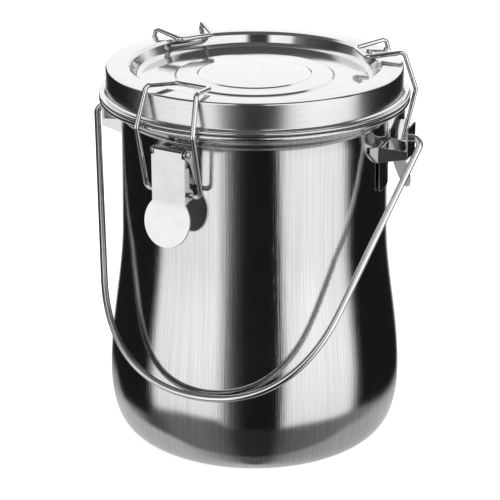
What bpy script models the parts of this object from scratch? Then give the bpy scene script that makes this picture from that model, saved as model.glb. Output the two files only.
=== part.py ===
"""Milk can with a clamped lid: a necked stainless steel can, a pressed lid with a silicone seal,
three over-centre wire latches and a swinging wire handle.

Frame: metres, +Z up, origin at the centre of the base, front of the can towards -Y.
A latch or an ear is drawn in its own frame: x along the wall, y outwards from the can's axis, z up.
"""
from math import atan2, cos, hypot, pi, radians, sin, sqrt

import bmesh
import bpy
from mathutils import Matrix, Vector

MM = 0.001

# Driving dimensions of the can, radii and heights above the base
CAN_HEIGHT = 187 * MM
BASE_RADIUS = 60.5 * MM
BULGE_RADIUS = 73.7 * MM
BULGE_HEIGHT = 29 * MM
BULGE_POWERS = (2.3, 2.6)
WAIST_RADIUS = 66.0 * MM
WAIST_HEIGHT = 109 * MM
NECK_RADIUS = 65.2 * MM
NECK_HEIGHT = 163.6 * MM
WALL = 1.0 * MM
MOUTH_BEAD_RADIUS = 75.5 * MM
MOUTH_BEAD_HEIGHT = 171.2 * MM
MOUTH_BEAD_ROLL = 1.25 * MM
BEAD_INNER_EDGE = (0.4 * MM, 0.3 * MM)
COVE_HEIGHT = 5.6 * MM
COVE_REACH = 8.2 * MM
NECK_RIDGE = (0.3 * MM, 0.3 * MM)
NECK_RIDGE_DEPTH = 0.6 * MM
BASE_EDGE_WIDTH = 1.8 * MM
INNER_CORNER = 1.2 * MM

# Lid, heights measured down from its rim
RIM_RADIUS = 72 * MM
SKIRT_DEPTH = 12.2 * MM
LIP_RADIUS = 75.6 * MM
LIP_DEPTH = 14.2 * MM
LIP_ROLL = 0.7 * MM
RECESS_RADIUS = 60.8 * MM
RECESS_DEPTH = 6.4 * MM
DISC_OUTER_RADIUS = 39 * MM
DISC_INNER_RADIUS = 27 * MM
DISC_RISE = 1.3 * MM
DISC_EDGE = 1.6 * MM
DISC_STEP = 0.5 * MM
DISC_FALL = 0.1 * MM
RECESS_FILLET = 5.6 * MM
RECESS_FILLET_RUN = 2.0 * MM
RECESS_FILLET_RISE = 0.8 * MM
RIM_INNER_EDGE = (0.8 * MM, 1.8 * MM, 1.2 * MM)
RIM_ROUND = 1.0 * MM
LIP_FLARE = (1.0 * MM, 0.6 * MM)
LIP_INNER_WIDTH = 1.6 * MM
LID_SHEET = 0.8 * MM

# Silicone seal inside the skirt
SEAL_OUTER_RADIUS = 70.5 * MM
SEAL_INNER_RADIUS = 64.5 * MM
SEAL_TOP = 10.2 * MM
SEAL_BOTTOM = 16.4 * MM
SEAL_CHAMFER = 1.6 * MM

# Latches
LATCH_AZIMUTHS = {"front": 238.3, "right": 15.0, "back": 122.9}
PIN_REACH = 72.9 * MM
PIN_DROP = 25.4 * MM
PIN_RADIUS = 1.0 * MM
PIN_HALF = 9.9 * MM
PIN_HEAD_RADIUS = 1.7 * MM
PIN_HEAD = 0.6 * MM
HOLE_GAP = 0.3 * MM
SHEET = 0.8 * MM
LEVER_HALF = 9.2 * MM
LEVER_KNUCKLE_HALF = 7.6 * MM
KNUCKLE_RADIUS = 2.2 * MM
KNUCKLE_TURN = radians(285)
KNUCKLE_STRIP = KNUCKLE_RADIUS * KNUCKLE_TURN
KNUCKLE_FOLDS = 14
LEVER_SHOULDER = 1.6 * MM
LEVER_SHOULDER_STEP = 0.3 * MM
LEVER_LENGTH = 24.8 * MM
TAB_RADIUS = 12.5 * MM
TAB_CENTRE = 7.8 * MM
TAB_TILT = radians(13)
CHEEK_TOP = 6.4 * MM
CHEEK_BOTTOM = 24.4 * MM
CHEEK_DEPTH = 3.0 * MM
CHEEK_SHEET = 0.7 * MM
CHEEK_CORNER = (0.8 * MM, 1.0 * MM)
CHEEK_LUG = 2.7 * MM
CHEEK_LUG_NECK = 1.2 * MM
LOOP_PIVOT_REACH = 70.8 * MM
LOOP_PIVOT_DROP = 45.5 * MM
LOOP_WIRE = 1.2 * MM
LOOP_END_HALF = 7.0 * MM
LOOP_HIP_HALF = 15.0 * MM
LOOP_KNEE = (15.4 * MM, 77.5 * MM, 15.0 * MM)
LOOP_SHOULDER = (13.6 * MM, 71.4 * MM, -3.4 * MM)
LOOP_CROWN = (9.2 * MM, 53.6 * MM, -1.0 * MM)
LOOP_BEND = 2.6 * MM
BRACKET_BOTTOM = 41.5 * MM
BRACKET_TOP = 23.9 * MM
BRACKET_SEAT = NECK_RADIUS + 0.1 * MM
BRACKET_EYE = 1.9 * MM
BRACKET_LUG_SETBACK = 1.5 * MM
BRACKET_LUG_INSET = 0.1 * MM
BRACKET_LUG_WAIST = (3.2 * MM, 5.4 * MM)

# Handle and its ears
EAR_AZIMUTHS = {"right": -20.5, "left": 159.5}
EAR_REACH = 79.4 * MM
EAR_HALF = 6.8 * MM
EAR_FOOT_HALF = 9.4 * MM
EAR_TIP = 17 * MM
EAR_FACE = (23.2 * MM, 38.6 * MM)
EAR_WEB = (34.6 * MM, 38.8 * MM)
EAR_WEB_START = 0.5 * MM
EAR_ROOT = (33.0 * MM, 41.0 * MM)
EAR_FLANGE_TIP = (31.5 * MM, 34.5 * MM)
EAR_DRILL = 6 * MM
TONGUE_TOP = (10.4 * MM, 34.5 * MM)
TONGUE_NECK = (10.4 * MM, 39.5 * MM)
TONGUE_SIDE = (7.4 * MM, 41.0 * MM)
TONGUE_CORNER = (7.4 * MM, 54.0 * MM)
TONGUE_END = (5.4 * MM, 56.0 * MM)
TONGUE_SEAT = 65.75 * MM
TONGUE_SHEET = 0.5 * MM
TONGUE_LEAN = 0.02
TONGUE_STRIPS = 3
HANDLE_DROP = 29.5 * MM
HANDLE_WIRE = 1.7 * MM
HANDLE_HALF = 85.0 * MM
HANDLE_END = 75.2 * MM
HANDLE_BEND = 3.6 * MM
HANDLE_LEG = (60.6 * MM, 88 * MM)
HANDLE_PULLS = (27 * MM, 36 * MM)
HANDLE_REACH = 138 * MM
HANDLE_TILT = radians(33.7)

# Fineness and the gap left between pieces that touch
TURN_STEPS = 48
HOLE_STEPS = 16
GAP = 0.3 * MM
MERGE = 0.00001


def clear_scene():
    for thing in list(bpy.data.objects):
        bpy.data.objects.remove(thing, do_unlink=True)


def new_collection(name):
    collection = bpy.data.collections.new(name)
    bpy.context.scene.collection.children.link(collection)
    return collection


def new_material(name, colour, metallic, roughness):
    material = bpy.data.materials.new(name)
    material.use_nodes = True
    shader = material.node_tree.nodes["Principled BSDF"]
    shader.inputs["Base Color"].default_value = (*colour, 1)
    shader.inputs["Metallic"].default_value = metallic
    shader.inputs["Roughness"].default_value = roughness
    return material


clear_scene()
PARTS = new_collection("milk_can")
CUTTERS = new_collection("cutters")
STEEL_BODY = new_material("steel_body", (0.72, 0.72, 0.72), 1.0, 0.2)
STEEL_LID = new_material("steel_lid", (0.78, 0.78, 0.78), 1.0, 0.12)
STEEL_WIRE = new_material("steel_wire", (0.76, 0.76, 0.76), 1.0, 0.15)
STEEL_SHEET = new_material("steel_sheet", (0.8, 0.8, 0.8), 1.0, 0.18)
SILICONE = new_material("silicone", (0.86, 0.86, 0.84), 0.0, 0.5)


# Shared geometry helpers

def add_object(name, data, material, parent=None, location=(0, 0, 0), rotation=(0, 0, 0)):
    thing = bpy.data.objects.new(name, data)
    PARTS.objects.link(thing)
    data.materials.append(material)
    thing.parent = parent
    thing.location = location
    thing.rotation_euler = rotation
    return thing


def add_frame(name, azimuth_degrees):
    """An empty on the can's axis whose +Y points outwards at the given azimuth."""
    frame = bpy.data.objects.new(name, None)
    PARTS.objects.link(frame)
    frame.rotation_euler = (0, 0, radians(azimuth_degrees - 90))
    return frame


def arc(centre, radius, start, end, steps):
    """Points of a circular arc in a plane, angles in degrees."""
    turn = radians(end - start)
    angles = [radians(start) + turn * i / steps for i in range(steps + 1)]
    return [(centre[0] + radius * cos(a), centre[1] + radius * sin(a)) for a in angles]


def offset_inwards(points, distance):
    """A copy of a path, moved by a distance to the right of its direction, with mitred corners."""
    moved = []
    last = len(points) - 1
    for i, point in enumerate(points):
        before = Vector(point) - Vector(points[max(i - 1, 0)])
        after = Vector(points[min(i + 1, last)]) - Vector(point)
        before = (before if i > 0 else after).normalized()
        after = (after if i < last else before).normalized()
        along = (before + after).normalized()
        stretch = distance / max(along.dot(before), 0.5)
        moved.append((point[0] + along.y * stretch, point[1] - along.x * stretch))
    return moved


def turned_part(name, outline, material, closed):
    """Turns an outline of radius and height round the vertical axis."""
    mesh = bpy.data.meshes.new(name)
    edges = [(i, i + 1) for i in range(len(outline) - 1)]
    if closed:
        edges.append((len(outline) - 1, 0))
    mesh.from_pydata([(radius, 0, height) for radius, height in outline], edges, [])
    part = add_object(name, mesh, material)
    screw = part.modifiers.new("turn", "SCREW")
    screw.steps = TURN_STEPS
    screw.render_steps = TURN_STEPS
    screw.use_merge_vertices = True
    screw.merge_threshold = MERGE
    screw.use_smooth_shade = True
    return part


def rounded_path(corners, radius, steps):
    """A path through 3-D corners with every inner corner replaced by an arc."""
    corners = [Vector(corner) for corner in corners]
    path = [corners[0]]
    for before, corner, after in zip(corners, corners[1:], corners[2:]):
        inward = (before - corner).normalized()
        outward = (after - corner).normalized()
        half_angle = inward.angle(outward) / 2
        setback = radius * cos(half_angle) / sin(half_angle)
        setback = min(setback, 0.49 * (before - corner).length, 0.49 * (after - corner).length)
        bend = setback * sin(half_angle) / cos(half_angle)
        middle = (inward + outward).normalized()
        centre = corner + middle * (bend / sin(half_angle))
        start = corner + inward * setback - centre
        end = corner + outward * setback - centre
        sweep = start.angle(end)
        for i in range(steps + 1):
            part = i / steps
            weight_start = sin((1 - part) * sweep) / sin(sweep)
            weight_end = sin(part * sweep) / sin(sweep)
            path.append(centre + start * weight_start + end * weight_end)
    path.append(corners[-1])
    return path


def wire(name, points, radius, material, **placing):
    """A round wire along a path."""
    curve = bpy.data.curves.new(name, "CURVE")
    curve.dimensions = "3D"
    curve.bevel_depth = radius
    curve.bevel_resolution = 2
    curve.use_fill_caps = True
    spline = curve.splines.new("POLY")
    spline.points.add(len(points) - 1)
    for spline_point, point in zip(spline.points, points):
        spline_point.co = (*point, 1)
    return add_object(name, curve, material, **placing)


def flat_plate(name, outline, holes, thickness):
    """A flat plate in the y-z plane, centred on x = 0, as a temporary mesh object."""
    curve = bpy.data.curves.new(name, "CURVE")
    curve.dimensions = "2D"
    curve.fill_mode = "BOTH"
    curve.extrude = thickness / 2
    for ring in [outline] + holes:
        spline = curve.splines.new("POLY")
        spline.points.add(len(ring) - 1)
        for spline_point, (y, z) in zip(spline.points, ring):
            spline_point.co = (y, z, 0, 1)
        spline.use_cyclic_u = True
    plate = bpy.data.objects.new(name, curve)
    CUTTERS.objects.link(plate)
    plate.rotation_euler = (pi / 2, 0, pi / 2)
    return plate


def baked(thing):
    """Replaces an object by a closed mesh of its evaluated shape, in its parent's space."""
    bpy.context.view_layer.update()
    graph = bpy.context.evaluated_depsgraph_get()
    mesh = bpy.data.meshes.new_from_object(thing.evaluated_get(graph))
    mesh.transform(thing.matrix_basis)
    grid = bmesh.new()
    grid.from_mesh(mesh)
    bmesh.ops.remove_doubles(grid, verts=grid.verts, dist=MERGE)
    bmesh.ops.recalc_face_normals(grid, faces=grid.faces)
    grid.to_mesh(mesh)
    grid.free()
    bpy.data.objects.remove(thing, do_unlink=True)
    return mesh


def combined(name, base_mesh, operation, tool_meshes):
    """Joins or cuts meshes one after another and returns the closed result."""
    base = bpy.data.objects.new(name, base_mesh)
    CUTTERS.objects.link(base)
    tools = []
    for tool_mesh in tool_meshes:
        tool = bpy.data.objects.new(name + "_tool", tool_mesh)
        CUTTERS.objects.link(tool)
        tool.hide_render = True
        tool.display_type = "WIRE"
        tools.append(tool)
        boolean = base.modifiers.new("join", "BOOLEAN")
        boolean.operation = operation
        boolean.solver = "EXACT"
        boolean.object = tool
    result = baked(base)
    for tool in tools:
        bpy.data.objects.remove(tool, do_unlink=True)
    return result


def cylinder_mesh(name, radius, length, steps, matrix):
    grid = bmesh.new()
    bmesh.ops.create_cone(grid, cap_ends=True, segments=steps, radius1=radius, radius2=radius,
                          depth=length, matrix=matrix)
    mesh = bpy.data.meshes.new(name)
    grid.to_mesh(mesh)
    grid.free()
    return mesh


def bent_sheet(name, outline, folds, place, thickness):
    """A sheet cut to a flat outline of (across, along), then bent by place(across, along, depth).

    The outline is cut at every fold so that the flat pattern can bend there."""
    grid = bmesh.new()
    grid.faces.new([grid.verts.new((across, along, 0)) for across, along in outline])
    for fold in folds:
        geometry = grid.verts[:] + grid.edges[:] + grid.faces[:]
        bmesh.ops.bisect_plane(grid, geom=geometry, plane_co=(0, fold, 0), plane_no=(0, 1, 0),
                               dist=MERGE)
    grid.verts.index_update()
    faces = [[vertex.index for vertex in face.verts] for face in grid.faces]
    flat = [tuple(vertex.co) for vertex in grid.verts]
    grid.free()
    outer = [place(across, along, 0.0) for across, along, _ in flat]
    inner = [place(across, along, thickness) for across, along, _ in flat]
    count = len(flat)
    solid = bmesh.new()
    vertices = [solid.verts.new(point) for point in outer + inner]
    borders = set()
    for ring in faces:
        solid.faces.new([vertices[i] for i in ring])
        solid.faces.new([vertices[i + count] for i in reversed(ring)])
        borders.update(zip(ring, ring[1:] + ring[:1]))
    for a, b in sorted(borders):
        if (b, a) not in borders:
            solid.faces.new([vertices[b], vertices[a], vertices[a + count], vertices[b + count]])
    bmesh.ops.recalc_face_normals(solid, faces=solid.faces)
    mesh = bpy.data.meshes.new(name)
    solid.to_mesh(mesh)
    solid.free()
    return mesh


# The can and its lid

def foot_outline(steps):
    """From the bulge down to the flat of the base, a superellipse corner."""
    power_up, power_out = BULGE_POWERS
    points = []
    for i in range(steps + 1):
        height = BULGE_HEIGHT * (1 - sin(pi / 2 * i / steps))
        fraction = 1 - height / BULGE_HEIGHT
        reach = (1 - fraction ** power_up) ** (1 / power_out)
        points.append((BASE_RADIUS + (BULGE_RADIUS - BASE_RADIUS) * reach, height))
    return points


def shoulder_outline(steps):
    """From the waist down to the bulge, a smooth S."""
    points = []
    for i in range(steps):
        fraction = 1 - i / steps
        blend = fraction * fraction * (3 - 2 * fraction)
        radius = BULGE_RADIUS + (WAIST_RADIUS - BULGE_RADIUS) * blend
        points.append((radius, BULGE_HEIGHT + (WAIST_HEIGHT - BULGE_HEIGHT) * fraction))
    return points


def mouth_outline(steps):
    """From the mouth bead down the cove to the neck."""
    cove_radius = MOUTH_BEAD_RADIUS - MOUTH_BEAD_ROLL
    cove_height = MOUTH_BEAD_HEIGHT - MOUTH_BEAD_ROLL
    bead = arc((cove_radius, MOUTH_BEAD_HEIGHT), MOUTH_BEAD_ROLL, 90, -90, 6)
    cove = []
    for i in range(1, steps + 1):
        angle = pi / 2 * (1 - i / steps)
        cove.append((cove_radius - COVE_REACH * cos(angle), cove_height - COVE_HEIGHT * (1 - sin(angle))))
    return bead, cove


def build_can():
    bead, cove = mouth_outline(5)
    ridge_out, ridge_up = NECK_RIDGE
    neck = [(NECK_RADIUS + ridge_out, NECK_HEIGHT + ridge_up)]
    neck += [(NECK_RADIUS, NECK_HEIGHT - NECK_RIDGE_DEPTH)]
    outside = cove + neck + shoulder_outline(8) + foot_outline(8)
    outside.append((BASE_RADIUS - BASE_EDGE_WIDTH, 0))
    inside = offset_inwards(outside, WALL)
    inside[-1] = (inside[-2][0] - INNER_CORNER, WALL)
    edge_in, edge_down = BEAD_INNER_EDGE
    outline = [(0, WALL)] + inside[::-1] + [(bead[0][0] - edge_in, bead[0][1] - edge_down)]
    outline += bead + outside + [(0, 0)]
    turned_part("can_body", outline, STEEL_BODY, closed=False)


def lid_outline():
    """The lid's upper surface from its centre outwards, then down the skirt to the rolled lip."""
    top = CAN_HEIGHT
    floor = top - RECESS_DEPTH
    disc = floor + DISC_RISE
    step = disc - DISC_STEP
    edge_out, edge_width, edge_drop = RIM_INNER_EDGE
    flare_out, flare_down = LIP_FLARE
    fillet_start = RECESS_RADIUS - RECESS_FILLET
    wall_top = RECESS_RADIUS + edge_out
    points = [(0, disc), (DISC_INNER_RADIUS, disc), (DISC_INNER_RADIUS + DISC_EDGE, step)]
    points += [(DISC_OUTER_RADIUS - DISC_EDGE, step - DISC_FALL), (DISC_OUTER_RADIUS, floor)]
    points += [(fillet_start, floor), (fillet_start + RECESS_FILLET_RUN, floor + RECESS_FILLET_RISE)]
    points += [(wall_top - edge_width, top - edge_drop), (wall_top, top)]
    points += arc((RIM_RADIUS - RIM_ROUND, top - RIM_ROUND), RIM_ROUND, 90, 0, 3)
    points += [(RIM_RADIUS, top - SKIRT_DEPTH)]
    points += [(RIM_RADIUS + flare_out, top - SKIRT_DEPTH - flare_down)]
    return points


def build_lid():
    top = lid_outline()
    under = offset_inwards(top, LID_SHEET)
    under[0] = (0, under[0][1])
    lip = arc((LIP_RADIUS - LIP_ROLL, CAN_HEIGHT - LIP_DEPTH + LIP_ROLL), LIP_ROLL, 90, -90, 4)
    outline = top + lip + [(lip[-1][0] - LIP_INNER_WIDTH, lip[-1][1])] + under[::-1]
    turned_part("lid", outline, STEEL_LID, closed=False)


def build_seal():
    high = CAN_HEIGHT - SEAL_TOP
    low = CAN_HEIGHT - SEAL_BOTTOM
    outline = [(SEAL_INNER_RADIUS, low + 2 * SEAL_CHAMFER), (SEAL_INNER_RADIUS, high)]
    outline += [(SEAL_OUTER_RADIUS, high), (SEAL_OUTER_RADIUS, low + SEAL_CHAMFER / 2)]
    outline += [(SEAL_OUTER_RADIUS - SEAL_CHAMFER, low), (SEAL_INNER_RADIUS + SEAL_CHAMFER, low)]
    turned_part("lid_seal", outline, SILICONE, closed=True)


# Latches: every shape is drawn in the latch's own frame

def lever_place(across, along, depth):
    """Bends the lever's flat pattern: a knuckle round the pin, a straight plate, a tilted tab."""
    if along < 0:
        angle = min(-along / KNUCKLE_STRIP, 1) * KNUCKLE_TURN
        radius = KNUCKLE_RADIUS - depth
        return (across, radius * cos(angle), radius * sin(angle))
    if along <= LEVER_LENGTH:
        return (across, KNUCKLE_RADIUS - depth, -along)
    past = along - LEVER_LENGTH
    y = KNUCKLE_RADIUS + past * sin(TAB_TILT) - depth * cos(TAB_TILT)
    z = -LEVER_LENGTH - past * cos(TAB_TILT) - depth * sin(TAB_TILT)
    return (across, y, z)


def lever_outline():
    tab_centre = LEVER_LENGTH + TAB_CENTRE
    half_gap = sqrt(TAB_RADIUS ** 2 - LEVER_HALF ** 2)
    start = atan2(-half_gap, LEVER_HALF)
    steps = 24
    shoulder = LEVER_SHOULDER + LEVER_SHOULDER_STEP
    points = [(LEVER_KNUCKLE_HALF, -KNUCKLE_STRIP), (LEVER_KNUCKLE_HALF, LEVER_SHOULDER)]
    points += [(LEVER_HALF, shoulder)]
    for i in range(steps + 1):
        angle = start + (pi - 2 * start) * i / steps
        points.append((TAB_RADIUS * cos(angle), tab_centre + TAB_RADIUS * sin(angle)))
    points += [(-LEVER_HALF, shoulder)]
    points += [(-LEVER_KNUCKLE_HALF, LEVER_SHOULDER), (-LEVER_KNUCKLE_HALF, -KNUCKLE_STRIP)]
    return points


def cheek_outline():
    """One side flange of the lever, relative to the hinge pin, with a lug for the wire loop's end."""
    front = KNUCKLE_RADIUS - SHEET / 2
    back = KNUCKLE_RADIUS - SHEET - CHEEK_DEPTH
    pivot = (LOOP_PIVOT_REACH - PIN_REACH, PIN_DROP - LOOP_PIVOT_DROP)
    corner_in, corner_down = CHEEK_CORNER
    points = [(front, -CHEEK_TOP), (back + corner_in, -CHEEK_TOP), (back, -CHEEK_TOP - corner_down)]
    points += [(back, pivot[1] + CHEEK_LUG + CHEEK_LUG_NECK)]
    points += arc(pivot, CHEEK_LUG, 140, 290, 8)
    points += [(front, -CHEEK_BOTTOM)]
    return points, pivot


def build_lever(name, frame):
    folds = [-KNUCKLE_STRIP * i / KNUCKLE_FOLDS for i in range(KNUCKLE_FOLDS)] + [LEVER_LENGTH]
    sheet = bent_sheet(name, lever_outline(), folds, lever_place, SHEET)
    outline, pivot = cheek_outline()
    hole = arc(pivot, LOOP_WIRE + HOLE_GAP, 0, 360, HOLE_STEPS)[:-1]
    cheeks = []
    for side in (-1, 1):
        cheek = flat_plate(name + "_cheek", outline, [hole], CHEEK_SHEET)
        cheek.location.x = side * (LEVER_HALF - SHEET / 2)
        cheeks.append(baked(cheek))
    mesh = combined(name, sheet, "UNION", cheeks)
    location = (0, PIN_REACH, CAN_HEIGHT - PIN_DROP)
    return add_object(name, mesh, STEEL_SHEET, parent=frame, location=location)


def build_pin(name, frame):
    """The hinge pin with an upset head on each end."""
    half = PIN_HALF
    outline = [(0, half + PIN_HEAD), (PIN_HEAD_RADIUS * 0.6, half + PIN_HEAD)]
    outline += [(PIN_HEAD_RADIUS, half + PIN_HEAD / 2), (PIN_HEAD_RADIUS, half), (PIN_RADIUS, half)]
    outline += [(radius, -along) for radius, along in outline[::-1]]
    pin = turned_part(name, outline, STEEL_WIRE, closed=False)
    pin.modifiers["turn"].steps = HOLE_STEPS
    pin.modifiers["turn"].render_steps = HOLE_STEPS
    pin.parent = frame
    pin.location = (0, PIN_REACH, CAN_HEIGHT - PIN_DROP)
    pin.rotation_euler = (0, pi / 2, 0)
    return pin


def build_bracket(name, frame):
    """A channel spot-welded to the neck whose two lugs hold the hinge pin."""
    back = BRACKET_SEAT + GAP
    front = back + SHEET
    pin = (PIN_REACH, CAN_HEIGHT - PIN_DROP)
    top = CAN_HEIGHT - BRACKET_TOP
    bottom = CAN_HEIGHT - BRACKET_BOTTOM
    base_outline = [(back, bottom), (front, bottom), (front, top), (back, top)]
    base = baked(flat_plate(name + "_base", base_outline, [], 2 * LEVER_HALF))
    middle = back + SHEET / 2
    waist_in, waist_down = BRACKET_LUG_WAIST
    lug_outline = [(middle, top - BRACKET_LUG_SETBACK)] + arc(pin, BRACKET_EYE, 100, -45, 8)
    lug_outline += [(pin[0] - waist_in, pin[1] - waist_down)]
    lug_outline += [(middle, bottom + BRACKET_LUG_SETBACK)]
    hole = arc(pin, PIN_RADIUS + HOLE_GAP / 2, 0, 360, HOLE_STEPS)[:-1]
    lugs = []
    for side in (-1, 1):
        lug = flat_plate(name + "_lug", lug_outline, [hole], SHEET)
        lug.location.x = side * (LEVER_HALF - SHEET / 2 - BRACKET_LUG_INSET)
        lugs.append(baked(lug))
    mesh = combined(name, base, "UNION", lugs)
    return add_object(name, mesh, STEEL_SHEET, parent=frame)


def loop_corners():
    """Half of the wire loop, from its hooked end to its crossbar, relative to its pivot."""
    corners = [(LOOP_END_HALF, 0, 0), (LOOP_HIP_HALF, 0, 0)]
    for across, reach, drop in (LOOP_KNEE, LOOP_SHOULDER, LOOP_CROWN):
        corners.append((across, reach - LOOP_PIVOT_REACH, LOOP_PIVOT_DROP - drop))
    return corners


def build_loop(name, frame):
    half = loop_corners()
    mirrored = [(-x, y, z) for x, y, z in half[::-1]]
    path = rounded_path(half + mirrored, LOOP_BEND, 3)
    location = (0, LOOP_PIVOT_REACH, CAN_HEIGHT - LOOP_PIVOT_DROP)
    return wire(name, path, LOOP_WIRE, STEEL_WIRE, parent=frame, location=location)


def build_latch(side, azimuth):
    frame = add_frame("latch_" + side + "_frame", azimuth)
    build_bracket("latch_" + side + "_bracket", frame)
    build_pin("latch_" + side + "_pin", frame)
    build_lever("latch_" + side + "_lever", frame)
    build_loop("latch_" + side + "_loop", frame)


# Handle and ears

def ear_stations():
    """Half of the ear's plan from the middle of its face to the tip of its flange.

    Returns the plan's corners, the distance along the strip to each and the height limits there."""
    wall = BRACKET_SEAT + GAP + SHEET
    foot = (EAR_FOOT_HALF, sqrt(wall ** 2 - EAR_FOOT_HALF ** 2))
    corners = [(0, EAR_REACH), (EAR_HALF, EAR_REACH), foot]
    limits = [EAR_FACE, EAR_WEB, EAR_ROOT]
    steps = 3
    for i in range(1, steps + 1):
        part = i / steps
        across = EAR_FOOT_HALF + (EAR_TIP - EAR_FOOT_HALF) * part
        corners.append((across, sqrt(wall ** 2 - across ** 2)))
        limits.append([a + (b - a) * part for a, b in zip(EAR_ROOT, EAR_FLANGE_TIP)])
    distances = [0]
    for a, b in zip(corners, corners[1:]):
        distances.append(distances[-1] + hypot(b[0] - a[0], b[1] - a[1]))
    return corners, distances, limits


def ear_place(across, along, depth):
    """Bends the ear's flat pattern to its hat-shaped plan."""
    corners, distances, _ = ear_stations()
    side = 1 if along >= 0 else -1
    distance = abs(along)
    offsets = offset_inwards(corners, 1.0)
    for i in range(len(distances) - 1):
        if distance <= distances[i + 1] + MERGE or i == len(distances) - 2:
            part = (distance - distances[i]) / (distances[i + 1] - distances[i])
            part = min(max(part, 0), 1)
            start = Vector(corners[i])
            end = Vector(corners[i + 1])
            start_in = Vector(offsets[i]) - start
            end_in = Vector(offsets[i + 1]) - end
            point = start.lerp(end, part) + start_in.lerp(end_in, part) * depth
            return (side * point.x, point.y, across)
    return (0, 0, 0)


def ear_outline():
    """The ear's flat pattern as (height, distance): a tall face between two narrow webs."""
    _, distances, limits = ear_stations()
    face = EAR_HALF + EAR_WEB_START
    upper = [(EAR_FACE[0], 0), (EAR_FACE[0], face), (EAR_WEB[0], face + EAR_WEB_START)]
    lower = [(EAR_FACE[1], 0), (EAR_FACE[1], face)]
    upper += [(limit[0], distance) for distance, limit in zip(distances[2:], limits[2:])]
    lower += [(limit[1], distance) for distance, limit in zip(distances[2:], limits[2:])]
    half = upper + lower[::-1]
    other = [(drop, -distance) for drop, distance in lower[1:]]
    other += [(drop, -distance) for drop, distance in upper[:0:-1]]
    return [(CAN_HEIGHT - drop, distance) for drop, distance in half + other], distances


def tongue_place(across, along, depth):
    """Curves the ear's back plate to the neck; it leans outwards a little towards its lower end."""
    lean = TONGUE_LEAN * (along - TONGUE_TOP[1])
    radius = TONGUE_SEAT + TONGUE_SHEET + lean - depth
    angle = across / radius
    return (radius * sin(angle), radius * cos(angle), CAN_HEIGHT - along)


def tongue_outline():
    right = [TONGUE_TOP, TONGUE_NECK, TONGUE_SIDE, TONGUE_CORNER, TONGUE_END]
    return right + [(-across, drop) for across, drop in right[::-1]]


def tongue_mesh(name):
    """The back plate, drawn as a strip whose folds run up and down the neck."""
    outline = [(along, across) for across, along in tongue_outline()]
    folds = [TONGUE_TOP[0] * i / TONGUE_STRIPS for i in range(1 - TONGUE_STRIPS, TONGUE_STRIPS)]
    return bent_sheet(name, outline, folds, lambda a, b, depth: tongue_place(b, a, depth), TONGUE_SHEET)


def build_ear(name, azimuth):
    frame = add_frame(name + "_frame", azimuth)
    outline, distances = ear_outline()
    folds = [0] + [side * distance for distance in distances[1:-1] for side in (-1, 1)]
    strip = bent_sheet(name, outline, folds, ear_place, SHEET)
    strip = combined(name, strip, "UNION", [tongue_mesh(name + "_tongue")])
    pivot = (0, EAR_REACH, CAN_HEIGHT - HANDLE_DROP)
    turn = Matrix.Translation(pivot) @ Matrix.Rotation(pi / 2, 4, "X")
    cutter = cylinder_mesh(name + "_hole", HANDLE_WIRE + HOLE_GAP, EAR_DRILL, HOLE_STEPS, turn)
    mesh = combined(name, strip, "DIFFERENCE", [cutter])
    return add_object(name, mesh, STEEL_SHEET, parent=frame)


def handle_corners():
    """Half of the handle from its end in the ear to where its bow begins, as (across, down)."""
    return [(HANDLE_END, 0), (HANDLE_HALF, 0), HANDLE_LEG]


def handle_bow(steps):
    """The bow of the handle, one Bezier arc for each half, from the right leg to the middle."""
    start = Vector(HANDLE_LEG)
    down_leg = (start - Vector((HANDLE_HALF, 0))).normalized()
    pull_leg = start + down_leg * HANDLE_PULLS[0]
    pull_middle = Vector((HANDLE_PULLS[1], HANDLE_REACH))
    middle = Vector((0, HANDLE_REACH))
    points = []
    for i in range(1, steps + 1):
        t = i / steps
        point = start * (1 - t) ** 3 + pull_leg * 3 * t * (1 - t) ** 2
        points.append(point + pull_middle * 3 * t * t * (1 - t) + middle * t ** 3)
    return [(point.x, point.y) for point in points]


def build_handle():
    """The swinging handle, hanging forward against the bulge, drawn in its pivots' plane."""
    bow = handle_bow(9)
    half = [Vector((across, 0, -down)) for across, down in handle_corners()]
    start = rounded_path(half, HANDLE_BEND, 5)
    right = start + [Vector((across, 0, -down)) for across, down in bow]
    left = [Vector((-point.x, 0, point.z)) for point in right[-2::-1]]
    azimuth = radians(EAR_AZIMUTHS["right"])
    location = (0, 0, CAN_HEIGHT - HANDLE_DROP)
    rotation = (-HANDLE_TILT, 0, azimuth)
    wire("bail_handle", right + left, HANDLE_WIRE, STEEL_WIRE, location=location, rotation=rotation)


build_can()
build_lid()
build_seal()
for latch_side, latch_azimuth in LATCH_AZIMUTHS.items():
    build_latch(latch_side, latch_azimuth)
for ear_side, ear_azimuth in EAR_AZIMUTHS.items():
    build_ear("ear_" + ear_side, ear_azimuth)
build_handle()
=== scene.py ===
from math import atan2, cos, pi, radians, sin, sqrt

import bmesh
import bpy
from mathutils import Matrix, Vector


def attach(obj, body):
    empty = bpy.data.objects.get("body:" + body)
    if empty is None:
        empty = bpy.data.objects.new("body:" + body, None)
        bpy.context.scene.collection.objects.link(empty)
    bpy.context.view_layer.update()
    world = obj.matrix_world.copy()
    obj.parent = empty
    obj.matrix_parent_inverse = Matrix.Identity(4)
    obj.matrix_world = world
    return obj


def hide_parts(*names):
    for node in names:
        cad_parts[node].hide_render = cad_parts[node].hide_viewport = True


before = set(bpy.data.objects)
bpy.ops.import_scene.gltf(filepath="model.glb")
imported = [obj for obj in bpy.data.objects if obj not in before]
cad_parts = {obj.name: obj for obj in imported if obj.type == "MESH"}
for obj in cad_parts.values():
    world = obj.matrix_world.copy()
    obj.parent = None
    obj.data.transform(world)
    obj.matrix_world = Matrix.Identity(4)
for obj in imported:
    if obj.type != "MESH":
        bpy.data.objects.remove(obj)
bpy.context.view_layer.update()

MM = 0.001

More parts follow.
